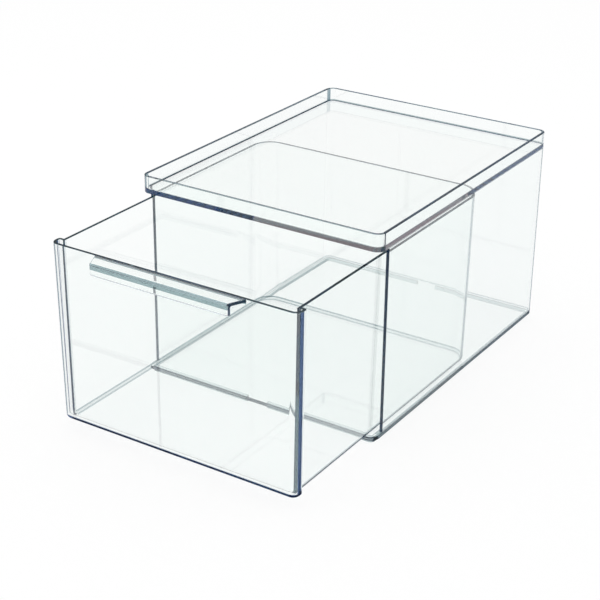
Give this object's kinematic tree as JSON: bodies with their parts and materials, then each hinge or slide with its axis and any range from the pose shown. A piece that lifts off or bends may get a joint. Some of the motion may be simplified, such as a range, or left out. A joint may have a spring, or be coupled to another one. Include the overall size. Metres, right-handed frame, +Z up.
{
  "type": "stackable drawer box",
  "caption": "Clear plastic stackable box with a raised rim on its top and a drafted drawer that slides out at the front by a lipped handle.",
  "frame": {"origin": "under the middle of the whole object's box, on the surface it stands on, with the drawer open as stored", "axes": "+Z up, +Y towards the back of the housing, +X to the right seen from the front; the drawer opens along -Y"},
  "size_m": [0.21, 0.388, 0.167],
  "materials": {
    "clear_housing": "polished clear styrene or acrylic, faint blue-green in thick sections",
    "clear_drawer": "polished clear styrene or acrylic, faint blue-green in thick sections"
  },
  "bodies": {
    "housing": {"top_tray": "clear_housing", "wall_shell": "clear_housing", "base_tray": "clear_housing"},
    "drawer": {"drawer_tub": "clear_drawer", "drawer_front": "clear_drawer", "pull_handle": "clear_drawer"}
  },
  "joints": [
    {"name": "drawer_slide", "type": "slide", "parent": "housing", "child": "drawer", "axis": [0, -1, 0], "range_m": [-0.105, 0.12]}
  ]
}
